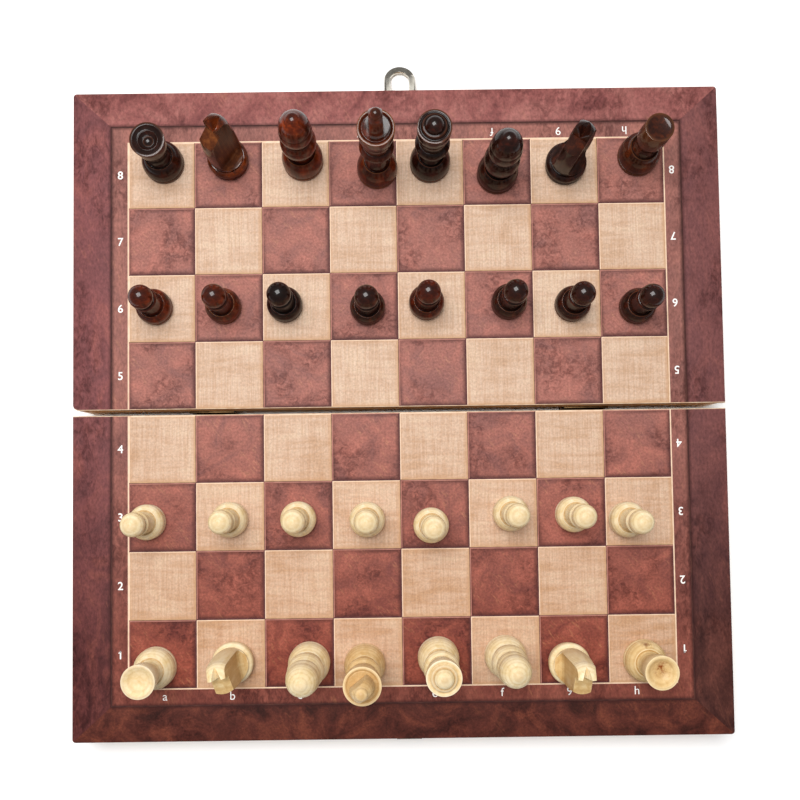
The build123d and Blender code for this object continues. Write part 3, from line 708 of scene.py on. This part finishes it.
def coordinates(half):
    """White letters and numbers in the strip; those of the far and right sides read from over there."""
    away = 1 if half == "far" else -1
    seam = hinge_y + away * half_gap / 2
    strip_x = FIELD_HALF_WIDTH + SIDE_STRIP / 2 - DIGIT_INSET
    strip_y = FIELD_LENGTH + END_STRIP / 2 - LETTER_RISE
    places = []
    for step in range(RANKS_PER_HALF):
        rank = str(RANKS_PER_HALF + 1 + step) if away > 0 else str(RANKS_PER_HALF - step)
        y = seam + away * (step + 0.5) * SQUARE
        places += [(rank, -strip_x, y, 0.0), (rank, strip_x, y, math.pi)]
    for file in range(FILES):
        x = (file + 0.5 - FILES / 2) * LETTER_PITCH[half] - LETTER_DRIFT[half]
        places.append((chr(ord("a") + file), x, seam + away * strip_y, math.pi if away > 0 else 0.0))
    mesh = bmesh.new()
    for text, x, y, turn in places:
        outline = bpy.data.curves.new("coordinate", "FONT")
        outline.body = GLYPHS.get(text, text)
        outline.size = DIGIT_SIZE if text.isdigit() else LETTER_SIZE
        outline.offset = DIGIT_BOLDNESS if text.isdigit() else 0.0
        outline.extrude = INK_THICKNESS
        outline.align_x = "CENTER"
        outline.align_y = "CENTER"
        drawn = bpy.data.objects.new("coordinate", outline)
        bpy.context.scene.collection.objects.link(drawn)
        flat = bpy.data.meshes.new_from_object(drawn.evaluated_get(bpy.context.evaluated_depsgraph_get()))
        glyph = bmesh.new()
        glyph.from_mesh(flat)
        if text == "1":
            add_flag(glyph)
        place = Matrix.Translation((x, y, panel_top + INK_THICKNESS)) @ Matrix.Rotation(turn, 4, "Z")
        bmesh.ops.transform(glyph, matrix=place, verts=glyph.verts)
        joined(mesh, glyph)
        bpy.data.objects.remove(drawn)
        bpy.data.curves.remove(outline)
        bpy.data.meshes.remove(flat)
    return put(mesh, half + "_coordinates", half + "_half", [white_ink])


def rail(node):
    """A rail with softened edges and the round corners that the board shows."""
    low, high = node_box(node)
    half = node.split("_")[0]
    mesh = block(low, high)
    away = 1 if half == "far" else -1
    if "end" in node:
        bevel(mesh, upright_edges(mesh, high.y if away > 0 else low.y), RAIL_OUTER_ROUND, CORNER_STEPS)
    elif "hinge" in node:
        bevel(mesh, upright_edges(mesh, low.y if away > 0 else high.y), RAIL_HINGE_ROUND, CORNER_STEPS)
    sharp = [e for e in mesh.edges if e.calc_face_angle(0) > SHARP_ANGLE]
    bevel(mesh, sharp, RAIL_EDGE_SOFTNESS)
    finish = grain_along if "left" in node or "right" in node else grain_across
    return put(mesh, node + "_wood", half + "_half", [finish], [node], FITTING_SMOOTHING)


# Chess pieces


def mark_wear(mesh):
    """Notes on each corner how far it is a rubbed outer edge, the bottom of a cut where stain and painted
    shade go, or upward end grain.
    """
    rubbed = mesh.verts.layers.float.new("rubbed")
    hollow = mesh.verts.layers.float.new("hollow")
    end_grain = mesh.verts.layers.float.new("end_grain")
    mesh.normal_update()
    for v in mesh.verts:
        angles = [e.calc_face_angle_signed(0) for e in v.link_edges if len(e.link_faces) == 2]
        for layer, bend in ((rubbed, max(angles)), (hollow, -min(angles))):
            v[layer] = min(1.0, max(0.0, (bend - SMOOTH_ANGLE) / (WEAR_ANGLE - SMOOTH_ANGLE)))
        v[end_grain] = max(0.0, (v.normal.z - END_GRAIN_FROM) / (1 - END_GRAIN_FROM))
    # The stain and painted shade of a cut reach the corners beside it
    spread = {v: max(e.other_vert(v)[hollow] for e in v.link_edges) for v in mesh.verts}
    for v, beside in spread.items():
        v[hollow] = max(v[hollow], CUT_SPREAD * beside)


class Turning:
    """Half outline of a turned piece in millimetres, drawn upwards from the middle of its foot, then spun."""

    def __init__(self, radius, height=0.0):
        self.mesh = bmesh.new()
        self.tip = self.mesh.verts.new((0, 0, height))
        self.line(radius)

    def line(self, radius, rise=0.0):
        """A straight stretch to a radius, this much higher."""
        made = bmesh.ops.extrude_vert_indiv(self.mesh, verts=[self.tip])["verts"][0]
        made.co = (radius, 0, self.tip.co.z + rise)
        self.tip = made
        return self

    def arc(self, centre, angle):
        """Carries the outline round a centre."""
        length = abs(angle) * (self.tip.co - centre).length
        steps = max(FEWEST_ARC_STEPS, math.ceil(length / OUTLINE_STEP))
        last = bmesh.ops.spin(self.mesh, geom=[self.tip], cent=centre, axis=(0, -1, 0), angle=angle,
                              steps=steps, use_duplicate=False)["geom_last"]
        self.tip = next(v for v in last if isinstance(v, bmesh.types.BMVert))
        return self

    def curve(self, radius, rise, bulge):
        """An arc whose middle stands out from its chord by bulge, or in from it where that is negative."""
        start = self.tip.co.copy()
        end = Vector((radius, 0, start.z + rise))
        chord = end - start
        out = Vector((chord.z, 0, -chord.x)).normalized()
        half = chord.length / 2
        reach = (half**2 + bulge**2) / (2 * abs(bulge))
        centre = (start + end) / 2 + out * (bulge - math.copysign(reach, bulge))
        self.arc(centre, math.copysign(4 * math.atan2(abs(bulge), half), bulge))
        self.tip.co = end
        return self

    def cap(self, rise):
        """A round cap this high, or a dish where rise is negative, that closes the outline on the axis."""
        radius, high = self.tip.co.x, abs(rise)
        reach = (radius**2 + high**2) / (2 * high)
        sweep = math.atan2(radius, reach - high)
        top = self.tip.co.z + rise
        self.arc(Vector((0, 0, top - math.copysign(reach, rise))), math.copysign(sweep, rise))
        self.tip.co = (0, 0, top)
        return self

    def ball(self, radius):
        """A ball that stands on the outline's end and closes it on the axis."""
        return self.cap(radius + math.sqrt(radius**2 - self.tip.co.x**2))

    def spun(self, softness=TURNED_EDGE_SOFTNESS):
        """The whole piece: the outline with its corners softened, spun about the axis."""
        mesh = self.mesh
        if self.tip.co.x > 0:
            self.line(0)
        corners = []
        for v in mesh.verts:
            if len(v.link_edges) == 2:
                a, b = [(e.other_vert(v).co - v.co).normalized() for e in v.link_edges]
                if a.dot(b) > -math.cos(TURNED_CORNER_ANGLE):
                    corners.append(v)
        bmesh.ops.bevel(mesh, geom=corners, offset=softness, offset_type="OFFSET", affect="VERTICES",
                        segments=2, profile=0.5, material=-1, clamp_overlap=True)
        bmesh.ops.spin(mesh, geom=mesh.verts[:] + mesh.edges[:], cent=(0, 0, 0), axis=(0, 0, 1),
                       angle=2 * math.pi, steps=TURNING_STEPS, use_merge=True)
        bmesh.ops.remove_doubles(mesh, verts=mesh.verts, dist=1e-4)
        bmesh.ops.recalc_face_normals(mesh, faces=mesh.faces)
        return mesh


def foot(diameter, bell_diameter, bell_height):
    """Upright edge, a turned groove, and a bell that ends in a fine cut round the stem."""
    edge, bell = diameter / 2, bell_diameter / 2
    return (
        Turning(edge)
        .line(edge, FOOT_EDGE)
        .curve(edge, FOOT_GROOVE_WIDTH, -FOOT_GROOVE_DEPTH)
        .curve(bell, bell_height, FOOT_BELL_BULGE)
        .curve(bell - FOOT_CUT_WIDTH, -FOOT_CUT_DROP, -FOOT_CUT_HOLLOW)
        .line(bell - FOOT_STEP, FOOT_CUT_DROP)
    )


def royal_stem(waist_height):
    """Foot, hollow waist, bead collar and a short neck of two rings."""
    return (
        foot(PIECE_FOOT_DIAMETER, ROYAL_BELL_DIAMETER, ROYAL_BELL_HEIGHT)
        .curve(ROYAL_WAIST_RADIUS, waist_height, -ROYAL_WAIST_HOLLOW)
        .line(ROYAL_COLLAR_RADIUS)
        .curve(ROYAL_COLLAR_RADIUS, ROYAL_COLLAR_HEIGHT, ROYAL_COLLAR_BULGE)
        .line(ROYAL_NECK_RADIUS)
        .curve(ROYAL_NECK_RADIUS, ROYAL_NECK_RING_HEIGHT, ROYAL_NECK_RING_BULGE)
        .curve(ROYAL_NECK_RADIUS, ROYAL_NECK_RING_HEIGHT, ROYAL_NECK_RING_BULGE)
    )


def crowned(waist_height, low, flare):
    """Stem and a flared crown with a turned groove, up to the inner edge of the crown's rim."""
    return (
        royal_stem(waist_height)
        .curve(*low)
        .curve(low[0] + CROWN_GROOVE_STEP, CROWN_GROOVE_WIDTH, -CROWN_GROOVE_DEPTH)
        .curve(*flare)
        .line(flare[0], CROWN_RIM_HEIGHT)
        .line(flare[0] - CROWN_RIM_WIDTH)
    )


def king(longer=0.0):
    """Crown with a ringed dish, and a finial with two flat sides that stands in it."""
    body = crowned(KING_WAIST_HEIGHT + longer, **KING_CROWN)
    start = body.tip.co.z - KING_DISH_DEPTH - FINIAL_SINK
    mesh = body.curve(*KING_DISH_WALL).curve(*KING_DISH_RING).cap(-KING_DISH_FLOOR_DROP).spun()
    finial = (
        Turning(FINIAL_RADIUS, start)
        .line(FINIAL_RADIUS, FINIAL_STRAIGHT)
        .curve(*FINIAL_SHOULDER)
        .cap(FINIAL_DOME_HEIGHT)
        .spun(FINIAL_TURNED_SOFTNESS)
    )
    for side in (-1, 1):
        geometry = finial.verts[:] + finial.edges[:] + finial.faces[:]
        bmesh.ops.bisect_plane(finial, geom=geometry, plane_co=(0, side * FINIAL_THICKNESS / 2, 0),
                               plane_no=(0, side, 0), clear_outer=True, dist=1e-4)
        rim = [e for e in finial.edges if e.is_boundary]
        bmesh.ops.edgeloop_fill(finial, edges=rim)
    bmesh.ops.recalc_face_normals(finial, faces=finial.faces)
    sharp = [e for e in finial.edges if len(e.link_faces) == 2 and e.calc_face_angle() > SHARP_ANGLE]
    bevel(finial, sharp, FINIAL_EDGE_SOFTNESS)
    return joined(mesh, finial)


def queen():
    """Crown with a turned groove, a button and a dome on its top."""
    return (
        crowned(QUEEN_WAIST_HEIGHT, **QUEEN_CROWN)
        .curve(*QUEEN_GROOVE)
        .line(QUEEN_BUTTON_RADIUS, QUEEN_BUTTON_STEP)
        .line(QUEEN_DOME_RADIUS)
        .cap(QUEEN_DOME_HEIGHT)
        .spun()
    )


def bishop(longer=0.0):
    """Bead collar, a short neck and a plain pointed head."""
    return (
        foot(PIECE_FOOT_DIAMETER, BISHOP_BELL_DIAMETER, BISHOP_BELL_HEIGHT + longer / 2)
        .curve(BISHOP_WAIST_RADIUS, BISHOP_WAIST_HEIGHT + longer / 2, -BISHOP_WAIST_HOLLOW)
        .curve(BISHOP_WAIST_RADIUS, BISHOP_COLLAR_HEIGHT, BISHOP_COLLAR_BULGE)
        .line(BISHOP_NECK_RADIUS)
        .line(BISHOP_NECK_RADIUS, BISHOP_NECK_HEIGHT)
        .line(BISHOP_LIP_RADIUS)
        .curve(*BISHOP_HEAD_LOW)
        .curve(*BISHOP_HEAD_HIGH)
        .cap(BISHOP_TIP_HEIGHT)
        .spun()
    )


def rook(longer=0.0, top=ROOK_TOP_RADIUS, dish=ROOK_DISH_DEPTH, rings=()):
    """A dished top; some dishes keep the rings that the tool left in them."""
    inner, left = top - ROOK_RIM_WIDTH, dish
    body = (
        foot(PIECE_FOOT_DIAMETER, ROOK_BELL_DIAMETER, ROOK_BELL_HEIGHT + longer / 2)
        .curve(*ROOK_WAIST)
        .curve(*ROOK_NECK)
        .line(top, ROOK_TOWER_HEIGHT + longer / 2)
        .line(inner)
    )
    for ring in rings:
        body.curve(inner * ring, -dish * RING_DROP, -RING_HOLLOW)
        body.curve(inner * ring - RING_WIDTH, RING_RISE, RING_BULGE)
        left -= dish * RING_DROP - RING_RISE
    return body.cap(-left).spun()


def pawn():
    """Bead collar and a ball."""
    return (
        foot(PAWN_FOOT_DIAMETER, PAWN_BELL_DIAMETER, PAWN_BELL_HEIGHT)
        .curve(PAWN_NECK_RADIUS, PAWN_NECK_HEIGHT, -PAWN_NECK_HOLLOW)
        .line(PAWN_COLLAR_RADIUS)
        .curve(PAWN_COLLAR_RADIUS, PAWN_COLLAR_HEIGHT, PAWN_COLLAR_BULGE)
        .line(PAWN_NECK_RADIUS)
        .ball(PAWN_HEAD_RADIUS)
        .spun()
    )


def copied(node):
    """A merged copy of a CAD node's mesh, in millimetres."""
    mesh = bmesh.new()
    mesh.from_mesh(nodes[node].data)
    bmesh.ops.remove_doubles(mesh, verts=mesh.verts, dist=1e-6)
    bmesh.ops.scale(mesh, vec=(1 / MM,) * 3, verts=mesh.verts)
    return mesh


def softened(node, width):
    """A copy of a CAD node with its sharp edges eased, and the faces that ease them."""
    mesh = copied(node)
    bmesh.ops.dissolve_limit(mesh, angle_limit=FLAT_ANGLE, verts=mesh.verts, edges=mesh.edges)
    sharp = [e for e in mesh.edges if len(e.link_faces) == 2 and e.calc_face_angle() > CAD_SHARP_ANGLE]
    return mesh, bevel(mesh, sharp, width)["faces"]


def cut_faces(mesh, centre, longer):
    """Faces of a knight that lie inside its turned blank, where the saw cut it."""
    body_low, body_high = KNIGHT_BODY_FROM, KNIGHT_BODY_TO + longer
    inside = []
    for face in mesh.faces:
        spot = face.calc_center_median() - centre
        share = min(1.0, max(0.0, (spot.z - body_low) / (body_high - body_low)))
        radius = KNIGHT_BODY_RADIUS + (KNIGHT_POLL_RADIUS - KNIGHT_BODY_RADIUS) * share
        radius += KNIGHT_BODY_BULGE * (1 - (2 * share - 1) ** 2)
        reach = Vector((spot.x, spot.y, max(0.0, spot.z - body_high))).length
        if spot.z > body_low and reach < radius - KNIGHT_CUT_DEPTH:
            inside.append(face)
    return inside


# Tones of the pieces: deep, middle and light wood, worn edge, and the tone in cuts, which there is stain and
# painted shade
PLAIN_STAIN = ("#160603", "#2F0F06", "#521D0C", "#6D3C22", "#0F0503")
STAINS = {
    "black_rook_a": ("#130502", "#270D05", "#45190A", "#63371F", "#0D0503"),
    "black_knight_b": ("#331104", "#5D2408", "#893A10", "#925A2D", "#130603"),
    "black_bishop_c": ("#320E03", "#5B1E06", "#86330C", "#7F471E", "#1B0703"),
    "black_king": ("#270C05", "#4E1B0A", "#782D10", "#8B522C", "#130603"),
    "black_queen": ("#120502", "#230A04", "#3E1408", "#754025", "#0A0403"),
    "black_bishop_f": ("#130502", "#290C05", "#48180A", "#63321C", "#0D0503"),
    "black_knight_g": ("#130503", "#260D06", "#4A1C0C", "#6D4B39", "#0C0503"),
    "black_rook_h": ("#240C04", "#441A08", "#692D0F", "#6B4021", "#150603"),
    "black_pawn_a": ("#2B0B03", "#501A06", "#77290B", "#773C19", "#170603"),
    "black_pawn_b": ("#2A0B03", "#4E1A07", "#74290C", "#895329", "#170603"),
    "black_pawn_c": ("#0D0302", "#190603", "#2B0E06", "#562A18", "#080402"),
    "black_pawn_e": ("#240903", "#471607", "#6F260C", "#783F1C", "#130603"),
}
PALE_WOOD = ("#E2C895", "#EFDBB2", "#F5E6C5", "#F9EFD6", "#A87A3C")
PALE_WOODS = {
    "white_king": ("#D0AA72", "#DDBC88", "#E8CC9E", "#F6E2B8", "#94662F"),
    "white_rook_h": ("#D6B47C", "#E2C48F", "#ECD3A4", "#F6E4BC", "#A0702F"),
}
CUT_STAIN = ("#140603", "#2F1106", "#50200C", "#855839", "#0A0403")
CUT_STAINS = {"black_knight_b": ("#34160A", "#572A12", "#7A4420", "#A87A50", "#140805")}
CUT_PALE = ("#CDA468", "#DCB980", "#E8CD9A", "#F8E9C4", "#A8743C")
# Knots in the wood: place from the middle of the foot, reach and tone
KNOTS = {"white_rook_h": (((0.5, 1.2, 23.0), 4.6, "#8A4718"), ((0.0, 7.0, 6.0), 3.4, "#7A3E18"))}
# Pieces that were turned to other sizes than the rest of their kind
SIZES = {
    "black_rook_a": {"top": 7.3, "rings": (0.7, 0.4)},
    "black_rook_h": {"longer": 4.0, "top": 6.0, "dish": 0.6},
    "white_rook_h": {"longer": -2.0},
    "black_bishop_c": {"longer": 3.5},
    "white_bishop_f": {"longer": -2.5},
    "white_king": {"longer": -5.5},
}
KNIGHT_LONGER = {"black_knight_b": 2.5, "black_knight_g": 1.0, "white_knight_b": 1.0}
SHAPES = {"king": king, "queen": queen, "bishop": bishop, "rook": rook, "pawn": pawn}


def chess_piece(node):
    """A chess piece over its CAD node: a knight from the node's own shape, any other one turned."""
    colour, kind = node.split("_")[:2]
    low, high = node_box(node)
    centre = Vector(((low.x + high.x) / 2, (low.y + high.y) / 2, low.z))
    if colour == "black":
        finishes = [turned_wood("stained_" + node, centre, STAINS.get(node, PLAIN_STAIN), **DARK_LACQUER)]
        slot, cut_tones = "dark_stained_wood", CUT_STAINS.get(node, CUT_STAIN)
    else:
        tones = PALE_WOODS.get(node, PALE_WOOD)
        knots = KNOTS.get(node, ())
        finishes = [turned_wood("natural_" + node, centre, tones, knots=knots, **PALE_LACQUER)]
        slot, cut_tones = "pale_wood", CUT_PALE
    if kind == "knight":
        mesh, eased = softened(node, CARVED_EDGE_SOFTNESS)
        for face in cut_faces(mesh, centre, KNIGHT_LONGER.get(node, 0.0)):
            face.material_index = SAWN
        for face in eased:
            face.material_index = WORN_EDGE
        _, _, light, worn, _ = cut_tones
        edge_tones = (light, worn, worn, worn, worn)
        finishes.append(turned_wood("sawn_" + node, centre, cut_tones, **SAWN_LACQUER))
        finishes.append(turned_wood("worn_edge_" + node, centre, edge_tones, **SAWN_LACQUER))
    else:
        mesh = SHAPES[kind](**SIZES.get(node, {}))
        mark_wear(mesh)
        turn = Matrix.Rotation(math.radians(KING_TURNS.get(node, 0.0)), 4, "Z")
        bmesh.ops.transform(mesh, matrix=Matrix.Translation(centre) @ turn, verts=mesh.verts)
    return put(mesh, node + "_turned", node, finishes, [node], PIECE_SMOOTHING)


# Metal fittings


def fitting(node, body, finish):
    """A pressed metal part with eased edges."""
    mesh, _ = softened(node, METAL_EDGE_SOFTNESS)
    return put(mesh, node + "_metal", body, [finish], [node], FITTING_SMOOTHING)


for half in ("near", "far"):
    printed_panel(half)
    coordinates(half)
    for place in ("end", "hinge", "left", "right"):
        rail(f"{half}_{place}_rail")
for node in nodes:
    if node.startswith(("black_", "white_")):
        chess_piece(node)

for side in ("left", "right"):
    fitting(f"{side}_hinge_near_leaf", "near_half", brass)
    fitting(f"{side}_hinge_far_leaf", "far_half", brass)
fitting("clasp_plate", "far_half", nickel)
fitting("clasp_bail", "clasp_bail", nickel)
fitting("catch_plate", "near_half", nickel)
for node in nodes:
    if node.endswith(("_screws", "_pin")):
        nodes[node].data.materials.clear()
        nodes[node].data.materials.append(zinc)

# Floor, light and camera

floor_mesh = bmesh.new()
bmesh.ops.create_grid(floor_mesh, x_segments=1, y_segments=1, size=FLOOR_HALF_WIDTH)
bmesh.ops.translate(floor_mesh, vec=(0, 0, cad_low.z), verts=floor_mesh.verts)
floor_data = bpy.data.meshes.new("floor")
floor_mesh.to_mesh(floor_data)
floor_mesh.free()
floor = bpy.data.objects.new("floor", floor_data)
bpy.context.scene.collection.objects.link(floor)
paper, _, paper_shader = start_finish("white_paper", Roughness=0.8)
paper_shader.inputs["Base Color"].default_value = linear("#FDFDFD")
floor_data.materials.append(paper)

world = bpy.data.worlds.new("studio")
bpy.context.scene.world = world
world.use_nodes = True
background = world.node_tree.nodes["Background"]
background.inputs["Color"].default_value = linear("#FFFFFF")
background.inputs["Strength"].default_value = WORLD_STRENGTH


def softbox(name, place, aim, width, watts):
    """A square area light at a place, turned to a point; in metres and watts."""
    data = bpy.data.lights.new(name, "AREA")
    data.shape = "SQUARE"
    data.size = width
    data.energy = watts
    lamp = bpy.data.objects.new(name, data)
    lamp.location = place
    lamp.rotation_mode = "QUATERNION"
    lamp.rotation_quaternion = (Vector(aim) - Vector(place)).to_track_quat("-Z", "Y")
    bpy.context.scene.collection.objects.link(lamp)


softbox("overhead_softbox", place=(-0.12, 0.18, 0.92), aim=(-0.02, 0.0, 0.0), width=0.55, watts=11.2)

camera_data = bpy.data.cameras.new("camera")
camera_data.sensor_width = 36.0
camera_data.lens = 36.765
camera_data.shift_x = 0.0140
camera_data.shift_y = 0.0566
camera_data.clip_start = 0.01
camera = bpy.data.objects.new("camera", camera_data)
right = Vector((0.99991, -0.01311, 0.00095))
down = Vector((-0.01306, -0.99915, -0.03921))
forward = Vector((0.00147, 0.03919, -0.99923))
turn = Matrix((right, -down, -forward)).transposed()
camera_place = Vector((-5.39, hinge_y - 29.94, 382.2)) * MM
camera.matrix_world = Matrix.Translation(camera_place) @ turn.to_4x4()
bpy.context.scene.collection.objects.link(camera)
bpy.context.scene.camera = camera
bpy.context.scene.view_settings.view_transform = "Standard"
